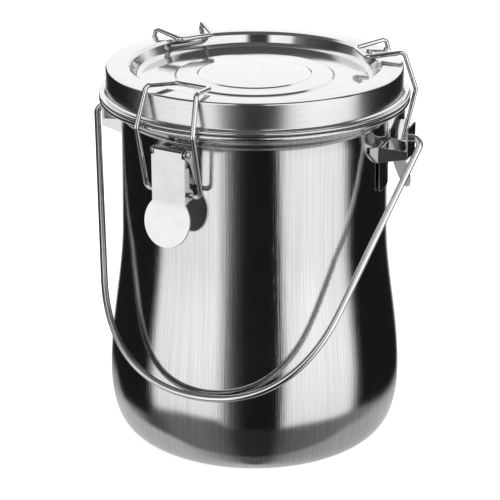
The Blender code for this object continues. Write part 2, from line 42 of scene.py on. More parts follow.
# Sizes shared with the CAD model, metres, heights above the base
CAN_HEIGHT = 187 * MM
BASE_RADIUS = 60.5 * MM
BULGE_RADIUS = 73.7 * MM
BULGE_HEIGHT = 29 * MM
BULGE_POWERS = (2.3, 2.6)
WAIST_RADIUS = 66.0 * MM
WAIST_HEIGHT = 109 * MM
NECK_RADIUS = 65.2 * MM
NECK_HEIGHT = 163.6 * MM
WALL = 1.0 * MM
BEAD_RADIUS = 75.5 * MM
BEAD_HEIGHT = 171.2 * MM
BEAD_ROLL = 1.25 * MM
COVE_HEIGHT = 5.6 * MM
COVE_REACH = 8.2 * MM
NECK_RIDGE = (0.75 * MM, 0.6 * MM, 1.3 * MM)
BASE_EDGE_WIDTH = 1.8 * MM
INNER_CORNER = (1.2 * MM, 0.8 * MM)
LID_SHEET = 0.8 * MM
LIP_CENTRE = (74.9 * MM, 13.5 * MM)
LIP_ROLL = 0.7 * MM
LIP_INNER_EDGE = (73.3 * MM, 14.2 * MM)
SEAL_ROUNDING = 0.5 * MM
EDGE_SOFTENING = 0.16 * MM
LATCH_AZIMUTHS = {"front": 238.3, "right": 15.0, "back": 122.9}
PIN_REACH = 72.9 * MM
PIN_DROP = 25.4 * MM
PIN_RADIUS = 1.0 * MM
PIN_HALF = 9.9 * MM
PIN_HOLE_RADIUS = 1.15 * MM
HOLE_GAP = 0.3 * MM
KNUCKLE_RADIUS = 2.2 * MM
KNUCKLE_TURN = radians(285)
KNUCKLE_STRIP = KNUCKLE_RADIUS * KNUCKLE_TURN
SHEET = 0.8 * MM
LEVER_HALF = 9.2 * MM
LEVER_LENGTH = 24.8 * MM
LEVER_SHOULDER = 1.6 * MM
TAB_RADIUS = 12.5 * MM
TAB_CENTRE = 7.8 * MM
TAB_TILT = radians(13)
TAB_BEND_HALF = 1.6 * MM
CHEEK_SHEET = 0.7 * MM
CHEEK_TOP = 6.4 * MM
CHEEK_BOTTOM = 24.4 * MM
CHEEK_DEPTH = 3.0 * MM
CHEEK_LUG = 2.7 * MM
LOOP_PIVOT_REACH = 70.8 * MM
LOOP_PIVOT_DROP = 45.5 * MM
LOOP_WIRE = 1.2 * MM
LOOP_END_HALF = 7.0 * MM
LOOP_HIP_HALF = 15.0 * MM
LOOP_BEND = 2.6 * MM
BRACKET_BACK = 65.6 * MM
BRACKET_TOP = 23.9 * MM
BRACKET_BOTTOM = 41.5 * MM
BRACKET_EYE = 1.9 * MM
BRACKET_INSET = 0.1 * MM
EAR_AZIMUTHS = {"right": -20.5, "left": 159.5}
EAR_REACH = 79.4 * MM
EAR_HALF = 6.8 * MM
EAR_FOOT_HALF = 9.4 * MM
EAR_TIP = 17 * MM
EAR_FACE = (23.2 * MM, 38.6 * MM)
EAR_WEB = (34.6 * MM, 38.8 * MM)
EAR_WEB_START = 0.5 * MM
EAR_ROOT = (33.0 * MM, 41.0 * MM)
EAR_FLANGE_TIP = (31.5 * MM, 34.5 * MM)
EAR_DRILL = 6 * MM
TONGUE_HALF = 10.4 * MM
TONGUE_TOP = 34.5 * MM
TONGUE_FACE = 66.4 * MM
TONGUE_SHEET = 0.65 * MM
TONGUE_LEAN = 0.02
HANDLE_DROP = 29.5 * MM
HANDLE_WIRE = 1.7 * MM
HANDLE_HALF = 85.0 * MM
HANDLE_END = 75.2 * MM
HANDLE_BEND = 3.6 * MM
HANDLE_LEG = (60.6 * MM, 88 * MM)
HANDLE_PULLS = (27 * MM, 36 * MM)
HANDLE_REACH = 138 * MM
HANDLE_TILT = radians(33.7)


# Shader helpers

def new_material(name):
    material = bpy.data.materials.new(name)
    material.use_nodes = True
    tree = material.node_tree
    return material, tree, tree.nodes["Principled BSDF"]


def add(tree, kind, links=(), **settings):
    """A node with its settings made and its inputs linked or set, by name or number."""
    made = tree.nodes.new("ShaderNode" + kind)
    for key, value in settings.items():
        setattr(made, key, value)
    for key, value in dict(links).items():
        if isinstance(value, bpy.types.NodeSocket):
            tree.links.new(value, made.inputs[key])
        else:
            made.inputs[key].default_value = value
    return made


def maths(tree, operation, first, second=0.0, third=0.0):
    return add(tree, "Math", {0: first, 1: second, 2: third}, operation=operation).outputs[0]


def remap(tree, value, low, high, to_low, to_high, smooth=False):
    kind = "SMOOTHSTEP" if smooth else "LINEAR"
    links = {"Value": value, "From Min": low, "From Max": high, "To Min": to_low, "To Max": to_high}
    return add(tree, "MapRange", links, interpolation_type=kind).outputs["Result"]


def noise(tree, vector, scale, detail=2.0, roughness=0.5, distortion=0.0):
    links = {"Vector": vector, "Scale": scale, "Detail": detail, "Roughness": roughness}
    links["Distortion"] = distortion
    return add(tree, "TexNoise", links).outputs[0]


def object_position(tree):
    return add(tree, "TexCoord").outputs["Object"]


def scaled(tree, vector, scale):
    links = {0: vector, 1: scale}
    return add(tree, "VectorMath", links, operation="MULTIPLY").outputs[0]


def around_axis(tree, position, turns, heights):
    """Position as a point on a unit circle round the vertical axis, and a height, both scaled."""
    flat = scaled(tree, position, (1, 1, 0))
    unit = add(tree, "VectorMath", {0: flat}, operation="NORMALIZE").outputs[0]
    wide = scaled(tree, unit, (turns, turns, turns))
    tall = scaled(tree, position, (0, 0, heights))
    return add(tree, "VectorMath", {0: wide, 1: tall}, operation="ADD").outputs[0]


def rings_round_axis(tree, position, rings, turns):
    """Radius and height scaled finely, angle scaled coarsely: for lines that run round the axis."""
    flat = scaled(tree, position, (1, 1, 0))
    unit = add(tree, "VectorMath", {0: flat}, operation="NORMALIZE").outputs[0]
    wide = scaled(tree, unit, (turns, turns, 0))
    radius = add(tree, "VectorMath", {0: flat}, operation="LENGTH").outputs["Value"]
    height = add(tree, "SeparateXYZ", {0: position}).outputs["Z"]
    across = maths(tree, "MULTIPLY", maths(tree, "SUBTRACT", radius, height), rings)
    tall = add(tree, "CombineXYZ", {"Z": across}).outputs[0]
    return add(tree, "VectorMath", {0: wide, 1: tall}, operation="ADD").outputs[0]


def bump(tree, height, strength, distance, normal=None):
    links = {"Height": height, "Strength": strength, "Distance": distance}
    if normal is not None:
        links["Normal"] = normal
    return add(tree, "Bump", links).outputs["Normal"]


def tinted(tree, value, dark, light):
    ramp = add(tree, "ValToRGB", {"Fac": value})
    ramp.color_ramp.elements[0].position = 0.25
    ramp.color_ramp.elements[0].color = (dark, dark, dark, 1)
    ramp.color_ramp.elements[1].position = 0.75
    ramp.color_ramp.elements[1].color = (light, light, light, 1)
    return ramp.outputs["Color"]


def finish_steel(material, tree, shader, colour, roughness, normal, anisotropy=0.0):
    tree.links.new(colour, shader.inputs["Base Color"])
    tree.links.new(roughness, shader.inputs["Roughness"])
    tree.links.new(normal, shader.inputs["Normal"])
    shader.inputs["Metallic"].default_value = 1.0
    if anisotropy:
        shader.inputs["Anisotropic"].default_value = anisotropy
        tangent = add(tree, "Tangent", direction_type="RADIAL", axis="Z").outputs[0]
        tree.links.new(tangent, shader.inputs["Tangent"])
    return material


def body_steel():
    """Polished sheet with fine upright brush lines, short scratches and faint smudges."""
    material, tree, shader = new_material("steel_body")
    position = object_position(tree)
    lines = noise(tree, around_axis(tree, position, 120, 14), 1.0, 3, 0.62)
    fine = noise(tree, around_axis(tree, position, 300, 50), 1.0, 2, 0.5)
    smudge = noise(tree, position, 26, 3, 0.6, 0.4)
    scratch_noise = noise(tree, around_axis(tree, position, 190, 90), 1.0, 1, 0.4, 0.6)
    scratch = remap(tree, scratch_noise, 0.66, 0.74, 0.0, 1.0)
    both = maths(tree, "MULTIPLY_ADD", fine, 0.5, lines)
    waves = noise(tree, around_axis(tree, position, 2.2, 9), 1.0, 1, 0.4)
    normal = bump(tree, waves, 0.5, 0.0009)
    normal = bump(tree, both, 0.32, 0.00006, normal)
    normal = bump(tree, scratch, 0.1, 0.00003, normal)
    rough = maths(tree, "MULTIPLY_ADD", lines, 0.06, remap(tree, smudge, 0.35, 0.7, 0.05, 0.085))
    colour = tinted(tree, maths(tree, "MULTIPLY_ADD", fine, 0.25, maths(tree, "MULTIPLY", lines, 0.75)),
                    0.46, 0.66)
    return finish_steel(material, tree, shader, colour, rough, normal, anisotropy=0.2)


def lid_steel():
    """Spun and polished sheet: faint lines round the axis, satin on the upright skirt."""
    material, tree, shader = new_material("steel_lid")
    position = object_position(tree)
    rings = noise(tree, rings_round_axis(tree, position, 2600, 5), 1.0, 2, 0.5)
    grain = noise(tree, position, 900, 2, 0.6)
    smudge = noise(tree, position, 40, 3, 0.6, 0.5)
    geometry = add(tree, "NewGeometry")
    facing = add(tree, "SeparateXYZ", {0: geometry.outputs["True Normal"]}).outputs["Z"]
    upright = remap(tree, facing, 0.12, 0.35, 1.0, 0.0)
    radius = add(tree, "VectorMath", {0: scaled(tree, position, (1, 1, 0))},
                 operation="LENGTH").outputs["Value"]
    skirt = maths(tree, "MULTIPLY", upright, remap(tree, radius, 0.0705, 0.0715, 0.0, 1.0))
    waves = noise(tree, position, 34, 1, 0.4)
    normal = bump(tree, waves, 0.45, 0.0011)
    normal = bump(tree, rings, 0.12, 0.00002, normal)
    normal = bump(tree, grain, 0.14, 0.00003, normal)
    polished = remap(tree, smudge, 0.35, 0.7, 0.07, 0.12)
    rough = maths(tree, "MULTIPLY_ADD", skirt, 0.16, polished)
    colour = tinted(tree, rings, 0.58, 0.66)
    return finish_steel(material, tree, shader, colour, rough, normal)


def wire_steel():
    """Bright drawn wire with a slightly uneven polish and tiny nicks."""
    material, tree, shader = new_material("steel_wire")
    position = object_position(tree)
    grain = noise(tree, position, 700, 2, 0.5)
    smudge = noise(tree, position, 90, 2, 0.6)
    nick = remap(tree, noise(tree, position, 1500, 1, 0.5), 0.7, 0.8, 0.0, 1.0)
    normal = bump(tree, grain, 0.12, 0.00003)
    normal = bump(tree, nick, 0.2, 0.00003, normal)
    rough = remap(tree, smudge, 0.3, 0.7, 0.07, 0.15)
    colour = tinted(tree, smudge, 0.6, 0.7)
    return finish_steel(material, tree, shader, colour, rough, normal)


def sheet_steel():
    """Pressed bright sheet: lengthwise polish lines, soft press marks and tiny scratches."""
    material, tree, shader = new_material("steel_sheet")
    position = object_position(tree)
    lines = noise(tree, scaled(tree, position, (2200, 2200, 120)), 1.0, 2, 0.5)
    smudge = noise(tree, position, 120, 2, 0.6)
    scratch = remap(tree, noise(tree, scaled(tree, position, (500, 500, 2200)), 1.0, 1, 0.5),
                    0.7, 0.76, 0.0, 1.0)
    dents = noise(tree, position, 110, 1, 0.4)
    normal = bump(tree, dents, 0.3, 0.0002)
    normal = bump(tree, lines, 0.15, 0.00002, normal)
    normal = bump(tree, scratch, 0.2, 0.00002, normal)
    rough = remap(tree, smudge, 0.3, 0.7, 0.08, 0.16)
    colour = tinted(tree, smudge, 0.55, 0.63)
    return finish_steel(material, tree, shader, colour, rough, normal)


def silicone_rubber():
    """Milky silicone with a faint moulded grain and dust."""
    material, tree, shader = new_material("silicone")
    position = object_position(tree)
    grain = noise(tree, position, 1800, 2, 0.6)
    dust = noise(tree, position, 160, 4, 0.65)
    colour = tinted(tree, dust, 0.66, 0.8)
    rough = remap(tree, dust, 0.3, 0.7, 0.42, 0.6)
    tree.links.new(colour, shader.inputs["Base Color"])
    tree.links.new(rough, shader.inputs["Roughness"])
    tree.links.new(bump(tree, grain, 0.3, 0.00005), shader.inputs["Normal"])
    shader.inputs["Subsurface Weight"].default_value = 0.25
    shader.inputs["Subsurface Radius"].default_value = (0.002, 0.002, 0.002)
    return material


BODY = body_steel()
LID = lid_steel()
WIRE = wire_steel()
PLATE = sheet_steel()
SILICONE = silicone_rubber()


# Geometry helpers

def piece(name, data, material, body, node, place=None):
    """A finished piece that stands for a CAD node and rides on its body."""
    if place is not None:
        data.transform(place)
    thing = bpy.data.objects.new(name, data)
    bpy.context.scene.collection.objects.link(thing)
    data.materials.append(material)
    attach(thing, body)
    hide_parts(node)
    return thing


def arc(centre, radius, start, end, steps):
    turn = radians(end - start)
    angles = [radians(start) + turn * i / steps for i in range(steps + 1)]
    return [(centre[0] + radius * cos(a), centre[1] + radius * sin(a)) for a in angles]


def offset_right(points, distance):
    """A copy of a path moved to the right of its direction, with mitred corners."""
    moved = []
    last = len(points) - 1
    for i, point in enumerate(points):
        before = Vector(point) - Vector(points[max(i - 1, 0)])
        after = Vector(points[min(i + 1, last)]) - Vector(point)
        before = (before if i > 0 else after).normalized()
        after = (after if i < last else before).normalized()
        along = (before + after).normalized()
        stretch = distance / max(along.dot(before), 0.5)
        moved.append((point[0] + along.y * stretch, point[1] - along.x * stretch))
    return moved


def rounded_path(corners, radius, steps, radii=None):
    """A path whose inner corners are replaced by arcs, in two or three dimensions."""
    corners = [Vector(corner) for corner in corners]
    path = [corners[0]]
    for i in range(1, len(corners) - 1):
        before, corner, after = corners[i - 1:i + 2]
        wanted = radii[i] if radii else radius
        inward = (before - corner).normalized()
        outward = (after - corner).normalized()
        half_angle = inward.angle(outward) / 2
        if wanted <= 0 or half_angle > 1.565:
            path.append(corner)
            continue
        setback = wanted * cos(half_angle) / sin(half_angle)
        setback = min(setback, 0.49 * (before - corner).length, 0.49 * (after - corner).length)
        bend = setback * sin(half_angle) / cos(half_angle)
        centre = corner + (inward + outward).normalized() * (bend / sin(half_angle))
        start = corner + inward * setback - centre
        end = corner + outward * setback - centre
        sweep = start.angle(end)
        for step in range(steps + 1):
            part = step / steps
            weight_start = sin((1 - part) * sweep) / sin(sweep)
            weight_end = sin(part * sweep) / sin(sweep)
            path.append(centre + start * weight_start + end * weight_end)
    path.append(corners[-1])
    return path


def mark_sharp(grid, degrees):
    for face in grid.faces:
        face.smooth = True
    for edge in grid.edges:
        if len(edge.link_faces) == 2 and edge.calc_face_angle(0) > radians(degrees):
            edge.smooth = False


def lathe(name, outline, steps, closed=False):
    """A smooth turned shell from an outline of radius and height."""
    grid = bmesh.new()
    rings = []
    for radius, height in outline:
        if radius < 1e-6:
            rings.append([grid.verts.new((0, 0, height))])
            continue
        ring = []
        for i in range(steps):
            angle = 2 * pi * i / steps
            ring.append(grid.verts.new((radius * cos(angle), radius * sin(angle), height)))
        rings.append(ring)
    pairs = list(zip(rings, rings[1:]))
    if closed:
        pairs.append((rings[-1], rings[0]))
    for low, high in pairs:
        for i in range(steps):
            j = (i + 1) % steps
            if len(low) == 1 and len(high) == 1:
                break
            if len(low) == 1:
                grid.faces.new((low[0], high[j], high[i]))
            elif len(high) == 1:
                grid.faces.new((low[i], low[j], high[0]))
            else:
                grid.faces.new((low[i], low[j], high[j], high[i]))
    bmesh.ops.recalc_face_normals(grid, faces=grid.faces)
    mark_sharp(grid, 50)
    mesh = bpy.data.meshes.new(name)
    grid.to_mesh(mesh)
    grid.free()
    return mesh


def tube(name, points, radius, resolution=5):
    """A round wire along a path, its two ends rounded off."""
    points = [Vector(point) for point in points]
    first = (points[0] - points[1]).normalized()
    last = (points[-1] - points[-2]).normalized()
    path = []
    rounding = ((0.0, 0.3), (0.12, 0.62), (0.32, 0.85), (0.65, 1.0))
    for back, width in rounding:
        path.append((points[0] - first * radius * back, width))
    path += [(point, 1.0) for point in points[1:-1]]
    for back, width in reversed(rounding):
        path.append((points[-1] - last * radius * back, width))
    curve = bpy.data.curves.new(name, "CURVE")
    curve.dimensions = "3D"
    curve.bevel_depth = radius
    curve.bevel_resolution = resolution
    curve.use_fill_caps = True
    spline = curve.splines.new("POLY")
    spline.points.add(len(path) - 1)
    for spline_point, (point, width) in zip(spline.points, path):
        spline_point.co = (*point, 1)
        spline_point.radius = width
    spline.use_smooth = True
    return curve


def bent_sheet(grid, outline, folds, place, thickness):
    """Adds to grid a sheet cut to a flat outline of (across, along) and bent by place()."""
    flat_grid = bmesh.new()
    flat_grid.faces.new([flat_grid.verts.new((across, along, 0)) for across, along in outline])
    for fold in folds:
        geometry = flat_grid.verts[:] + flat_grid.edges[:] + flat_grid.faces[:]
        bmesh.ops.bisect_plane(flat_grid, geom=geometry, plane_co=(0, fold, 0), plane_no=(0, 1, 0),
                               dist=1e-6)
    flat_grid.verts.index_update()
    faces = [[vertex.index for vertex in face.verts] for face in flat_grid.faces]
    flat = [tuple(vertex.co) for vertex in flat_grid.verts]
    flat_grid.free()
    count = len(flat)
    points = [place(across, along, 0.0) for across, along, _ in flat]
    points += [place(across, along, thickness) for across, along, _ in flat]
    vertices = [grid.verts.new(point) for point in points]
    made = []
    borders = set()
    for ring in faces:
        made.append(grid.faces.new([vertices[i] for i in ring]))
        made.append(grid.faces.new([vertices[i + count] for i in reversed(ring)]))
        borders.update(zip(ring, ring[1:] + ring[:1]))
    for a, b in sorted(borders):
        if (b, a) not in borders:
            ring = [vertices[b], vertices[a], vertices[a + count], vertices[b + count]]
            made.append(grid.faces.new(ring))
    bmesh.ops.recalc_face_normals(grid, faces=made)


def add_plate(grid, outline, holes, thickness, x):
    """Adds to grid a flat plate in the y-z plane, centred on x, with round holes through it."""
    curve = bpy.data.curves.new("plate", "CURVE")
    curve.dimensions = "2D"
    curve.fill_mode = "BOTH"
    curve.extrude = thickness / 2
    for ring in [outline] + holes:
        spline = curve.splines.new("POLY")
        spline.points.add(len(ring) - 1)
        for spline_point, (y, z) in zip(spline.points, ring):
            spline_point.co = (y, z, 0, 1)
        spline.use_cyclic_u = True
    thing = bpy.data.objects.new("plate", curve)
    mesh = bpy.data.meshes.new_from_object(thing)
    mesh.transform(Matrix(((0, 0, 1, x), (1, 0, 0, 0), (0, 1, 0, 0), (0, 0, 0, 1))))
    part = bmesh.new()
    part.from_mesh(mesh)
    bmesh.ops.remove_doubles(part, verts=part.verts, dist=1e-6)
    bmesh.ops.dissolve_limit(part, angle_limit=radians(1), verts=part.verts, edges=part.edges)
    bmesh.ops.recalc_face_normals(part, faces=part.faces)
    part.to_mesh(mesh)
    part.free()
    grid.from_mesh(mesh)
    bpy.data.objects.remove(thing)
    bpy.data.meshes.remove(mesh)
    bpy.data.curves.remove(curve)


def mesh_from(grid, name, sharp=35):
    mark_sharp(grid, sharp)
    mesh = bpy.data.meshes.new(name)
    grid.to_mesh(mesh)
    grid.free()
    return mesh


def soften(thing, angle=38):
    bevel = thing.modifiers.new("edges", "BEVEL")
    bevel.width = EDGE_SOFTENING
    bevel.segments = 2
    bevel.limit_method = "ANGLE"
    bevel.angle_limit = radians(angle)
    bevel.harden_normals = True


# The can body

def foot_outline(steps):
    power_up, power_out = BULGE_POWERS
    points = []
    for i in range(steps + 1):
        height = BULGE_HEIGHT * (1 - sin(pi / 2 * i / steps))
        fraction = 1 - height / BULGE_HEIGHT
        reach = (1 - fraction ** power_up) ** (1 / power_out)
        points.append((BASE_RADIUS + (BULGE_RADIUS - BASE_RADIUS) * reach, height))
    return points


def shoulder_outline(steps):
    points = []
    for i in range(steps):
        fraction = 1 - i / steps
        blend = fraction * fraction * (3 - 2 * fraction)
        radius = BULGE_RADIUS + (WAIST_RADIUS - BULGE_RADIUS) * blend
        points.append((radius, BULGE_HEIGHT + (WAIST_HEIGHT - BULGE_HEIGHT) * fraction))
    return points


def neck_outline():
    """The small ridge under the cove, then the straight neck."""
    swell, above, fall = NECK_RIDGE
    points = []
    for i in range(1, 9):
        part = i / 8
        ease = part * part * (3 - 2 * part)
        points.append((NECK_RADIUS + swell * (1 - ease), NECK_HEIGHT + above - fall * part))
    for height in (158, 150, 140, 130, 120):
        part = (NECK_HEIGHT - height * MM) / (NECK_HEIGHT - WAIST_HEIGHT)
        points.append((NECK_RADIUS + (WAIST_RADIUS - NECK_RADIUS) * part ** 2, height * MM))
    return points


def build_body():
    cove_radius = BEAD_RADIUS - BEAD_ROLL
    cove_height = BEAD_HEIGHT - BEAD_ROLL
    bead = arc((cove_radius, BEAD_HEIGHT), BEAD_ROLL, 90, -90, 16)
    cove = []
    for i in range(1, 15):
        angle = pi / 2 * (1 - i / 14)
        height = cove_height - COVE_HEIGHT * (1 - sin(angle))
        cove.append((cove_radius - COVE_REACH * cos(angle), height))
    outside = cove + neck_outline() + shoulder_outline(40) + foot_outline(30)
    outside.append((BASE_RADIUS - BASE_EDGE_WIDTH, 0))
    inside = offset_right(outside, WALL)
    inside[-1] = (inside[-2][0] - INNER_CORNER[0], WALL)
    inside = rounded_path(inside[-3:], INNER_CORNER[1], 5)[1:]
    inside = offset_right(outside, WALL)[:-2] + [(p.x, p.y) for p in inside]
    edge = [(cove_radius - 0.9 * MM, BEAD_HEIGHT + 0.9 * MM)]
    edge.append((cove_radius - 0.4 * MM, BEAD_HEIGHT + 1.2 * MM))
    outline = [(0, WALL), (0.03, WALL)] + inside[::-1] + edge + bead + outside
    outline += [(0.045, 0), (0.02, 0), (0, 0)]
    mesh = lathe("can_shell", outline, 256)
    piece("can_shell", mesh, BODY, "can", "can_body")


# The lid and its seal

def build_lid():
    top = CAN_HEIGHT
    corners = [
        (0, -5.1, 0), (27.1, -5.1, 0.7), (28.0, -5.6, 0.7), (37.8, -5.6, 0.7), (38.9, -6.4, 0.7),
        (55.2, -6.4, 2.2), (57.4, -5.5, 2.4), (59.8, -1.2, 1.4), (61.4, 0, 1.4), (72.0, 0, 1.1),
        (72.0, -12.2, 0.6), (72.9, -12.85, 0.4), (74.9, -12.8, 0),
    ]
    points = [(radius * MM, top + height * MM) for radius, height, _ in corners]
    radii = [fillet * MM for _, _, fillet in corners]
    smooth = [(p.x, p.y) for p in rounded_path(points, 0, 8, radii)]
    under = offset_right(smooth[:-1], LID_SHEET)
    under[0] = (0, under[0][1])
    lip = arc((LIP_CENTRE[0], top - LIP_CENTRE[1]), LIP_ROLL, 90, -90, 12)
    outline = smooth[:-1] + lip + [(LIP_INNER_EDGE[0], top - LIP_INNER_EDGE[1])] + under[::-1]
    mesh = lathe("lid_pressing", outline, 256)
    piece("lid_pressing", mesh, LID, "lid", "lid")


def build_seal():
    seal_corners = [(64.5, 173.8), (64.5, 176.8), (70.5, 176.8), (70.5, 171.4), (68.9, 170.6), (66.1, 170.6)]
    ring = [(radius * MM, height * MM) for radius, height in seal_corners]
    ring = [((ring[0][0] + ring[-1][0]) / 2, (ring[0][1] + ring[-1][1]) / 2)] + ring
    ring.append(ring[0])
    smooth = [(p.x, p.y) for p in rounded_path(ring, SEAL_ROUNDING, 5)][:-1]
    mesh = lathe("seal_ring", smooth, 160, closed=True)
    piece("seal_ring", mesh, SILICONE, "lid", "lid_seal")


# Latches, drawn in their own frame: x along the wall, y outwards, z up

def lever_place(across, along, depth):
    """Bends the lever: a knuckle round the pin, a straight plate, a soft bend and the thumb tab."""
    if along < 0:
        angle = min(-along / KNUCKLE_STRIP, 1) * KNUCKLE_TURN
        radius = KNUCKLE_RADIUS - depth
        return (across, radius * cos(angle), radius * sin(angle))
    past = along - (LEVER_LENGTH - TAB_BEND_HALF)
    if past <= 0:
        return (across, KNUCKLE_RADIUS - depth, -along)
    turned = min(past / (2 * TAB_BEND_HALF), 1) * TAB_TILT
    steps = 8
    y, z = KNUCKLE_RADIUS, -(LEVER_LENGTH - TAB_BEND_HALF)
    bent = min(past, 2 * TAB_BEND_HALF)
    for i in range(steps):
        angle = turned * (i + 0.5) / steps
        y += bent / steps * sin(angle)
        z -= bent / steps * cos(angle)
    straight = past - bent
    y += straight * sin(TAB_TILT) - depth * cos(turned)
    z -= straight * cos(TAB_TILT) + depth * sin(turned)
    return (across, y, z)


def lever_outline():
    shoulder = LEVER_SHOULDER
    centre = LEVER_LENGTH + TAB_CENTRE
    start = atan2(-sqrt(TAB_RADIUS ** 2 - LEVER_HALF ** 2), LEVER_HALF)
    points = [(7.6 * MM, -KNUCKLE_STRIP), (7.6 * MM, shoulder), (8.6 * MM, shoulder + 0.1 * MM)]
    points += [(9.0 * MM, shoulder + 0.2 * MM), (LEVER_HALF, shoulder + 0.5 * MM)]
    steps = 56
    circle = []
    for i in range(steps + 1):
        angle = start + (pi - 2 * start) * i / steps
        circle.append((TAB_RADIUS * cos(angle), centre + TAB_RADIUS * sin(angle)))
    return points + circle + [(-x, y) for x, y in points[::-1]]


def cheek_outline():
    front = KNUCKLE_RADIUS - SHEET / 2
    back = KNUCKLE_RADIUS - SHEET - CHEEK_DEPTH
    pivot = (LOOP_PIVOT_REACH - PIN_REACH, PIN_DROP - LOOP_PIVOT_DROP)
    points = [(front, -CHEEK_TOP), (back + 1.2 * MM, -CHEEK_TOP), (back + 0.5 * MM, -6.7 * MM)]
    points += [(back, -7.6 * MM), (back, pivot[1] + 3.9 * MM)]
    points += arc(pivot, CHEEK_LUG, 140, 290, 20)
    points += [(front, -CHEEK_BOTTOM)]
    return points, pivot


def build_lever(side, place):
    grid = bmesh.new()
    folds = [-KNUCKLE_STRIP * i / 30 for i in range(30)]
    folds += [LEVER_LENGTH + TAB_BEND_HALF * i / 4 for i in range(-4, 5)]
    bent_sheet(grid, lever_outline(), folds, lever_place, SHEET)
    outline, pivot = cheek_outline()
    hole = arc(pivot, LOOP_WIRE + HOLE_GAP, 0, 360, 28)[:-1]
    for x in (-1, 1):
        add_plate(grid, outline, [hole], CHEEK_SHEET, x * (LEVER_HALF - SHEET / 2))
    name = "lever_" + side
    at = place @ Matrix.Translation((0, PIN_REACH, CAN_HEIGHT - PIN_DROP))
    node = "latch_" + side + "_lever"
    thing = piece(name, mesh_from(grid, name), PLATE, name, node, at)
    soften(thing)


def build_bracket(side, place):
    back = BRACKET_BACK
    top = CAN_HEIGHT - BRACKET_TOP
    bottom = CAN_HEIGHT - BRACKET_BOTTOM
    pin = (PIN_REACH, CAN_HEIGHT - PIN_DROP)
    grid = bmesh.new()
    base = [(back, bottom), (back + SHEET, bottom), (back + SHEET, top), (back, top)]
    add_plate(grid, base, [], 2 * (LEVER_HALF - BRACKET_INSET), 0)
    middle = back + SHEET / 2
    lug = [(middle, top - 1.5 * MM)] + arc(pin, BRACKET_EYE, 100, -45, 20)
    lug += [(pin[0] - 3.2 * MM, pin[1] - 5.4 * MM), (middle, bottom + 1.5 * MM)]
    hole = arc(pin, PIN_HOLE_RADIUS, 0, 360, 24)[:-1]
    for x in (-1, 1):
        add_plate(grid, lug, [hole], SHEET, x * (LEVER_HALF - SHEET / 2 - BRACKET_INSET))
    name = "bracket_" + side
    node = "latch_" + side + "_bracket"
    thing = piece(name, mesh_from(grid, name), PLATE, "can", node, place)
    soften(thing)


def build_pin(side, place):
    half = PIN_HALF
    head = [(0, 0.6), (0.9, 0.56), (1.4, 0.4), (1.68, 0.18), (1.7, 0.05), (1.6, 0)]
    outline = [(radius * MM, half + height * MM) for radius, height in head]
    outline.append((PIN_RADIUS, half))
    outline += [(radius, -height) for radius, height in outline[::-1]]
    turn = Matrix.Rotation(pi / 2, 4, "Y")
    at = place @ Matrix.Translation((0, PIN_REACH, CAN_HEIGHT - PIN_DROP)) @ turn
    name = "pin_" + side
    piece(name, lathe(name, outline, 32), WIRE, "can", "latch_" + side + "_pin", at)


def build_loop(side, place):
    corners = [(LOOP_END_HALF, 0, 0), (LOOP_HIP_HALF, 0, 0)]
    for across, reach, drop in ((15.4, 77.5, 15.0), (13.6, 71.4, -3.4), (9.2, 53.6, -1.0)):
        corners.append((across * MM, reach * MM - LOOP_PIVOT_REACH, LOOP_PIVOT_DROP - drop * MM))
    mirrored = [(-x, y, z) for x, y, z in corners[::-1]]
    path = rounded_path(corners + mirrored, LOOP_BEND, 10)
    name = "loop_" + side
    at = place @ Matrix.Translation((0, LOOP_PIVOT_REACH, CAN_HEIGHT - LOOP_PIVOT_DROP))
    curve = tube(name, path, LOOP_WIRE)
    piece(name, curve, WIRE, name, "latch_" + side + "_loop", at)


def build_latch(side, azimuth):
    place = Matrix.Rotation(radians(azimuth - 90), 4, "Z")
    build_bracket(side, place)
    build_pin(side, place)
    build_lever(side, place)
    build_loop(side, place)


# The handle and its ears

def ear_stations():
    """The ear's plan corners, the distance along the strip to each, and its height limits there."""
    wall = BRACKET_BACK + SHEET
    corners = [(0, EAR_REACH), (EAR_HALF, EAR_REACH)]
    corners.append((EAR_FOOT_HALF, sqrt(wall ** 2 - EAR_FOOT_HALF ** 2)))
    limits = [EAR_FACE, EAR_WEB, EAR_ROOT]
    steps = 6
    for i in range(1, steps + 1):
        part = i / steps
        across = EAR_FOOT_HALF + (EAR_TIP - EAR_FOOT_HALF) * part
        corners.append((across, sqrt(wall ** 2 - across ** 2)))
        limits.append([a + (b - a) * part for a, b in zip(EAR_ROOT, EAR_FLANGE_TIP)])
    distances = [0]
    for a, b in zip(corners, corners[1:]):
        distances.append(distances[-1] + (Vector(b) - Vector(a)).length)
    return corners, distances, limits


EAR_CORNERS, EAR_DISTANCES, EAR_LIMITS = ear_stations()
EAR_OFFSETS = offset_right(EAR_CORNERS, 1.0)


def ear_place(across, along, depth):
    side = 1 if along >= 0 else -1
    distance = abs(along)
    for i in range(len(EAR_DISTANCES) - 1):
        if distance <= EAR_DISTANCES[i + 1] + 1e-6 or i == len(EAR_DISTANCES) - 2:
            part = (distance - EAR_DISTANCES[i]) / (EAR_DISTANCES[i + 1] - EAR_DISTANCES[i])
            part = min(max(part, 0), 1)
            start, end = Vector(EAR_CORNERS[i]), Vector(EAR_CORNERS[i + 1])
            start_in = Vector(EAR_OFFSETS[i]) - start
            end_in = Vector(EAR_OFFSETS[i + 1]) - end
            point = start.lerp(end, part) + start_in.lerp(end_in, part) * depth
            return (side * point.x, point.y, across)


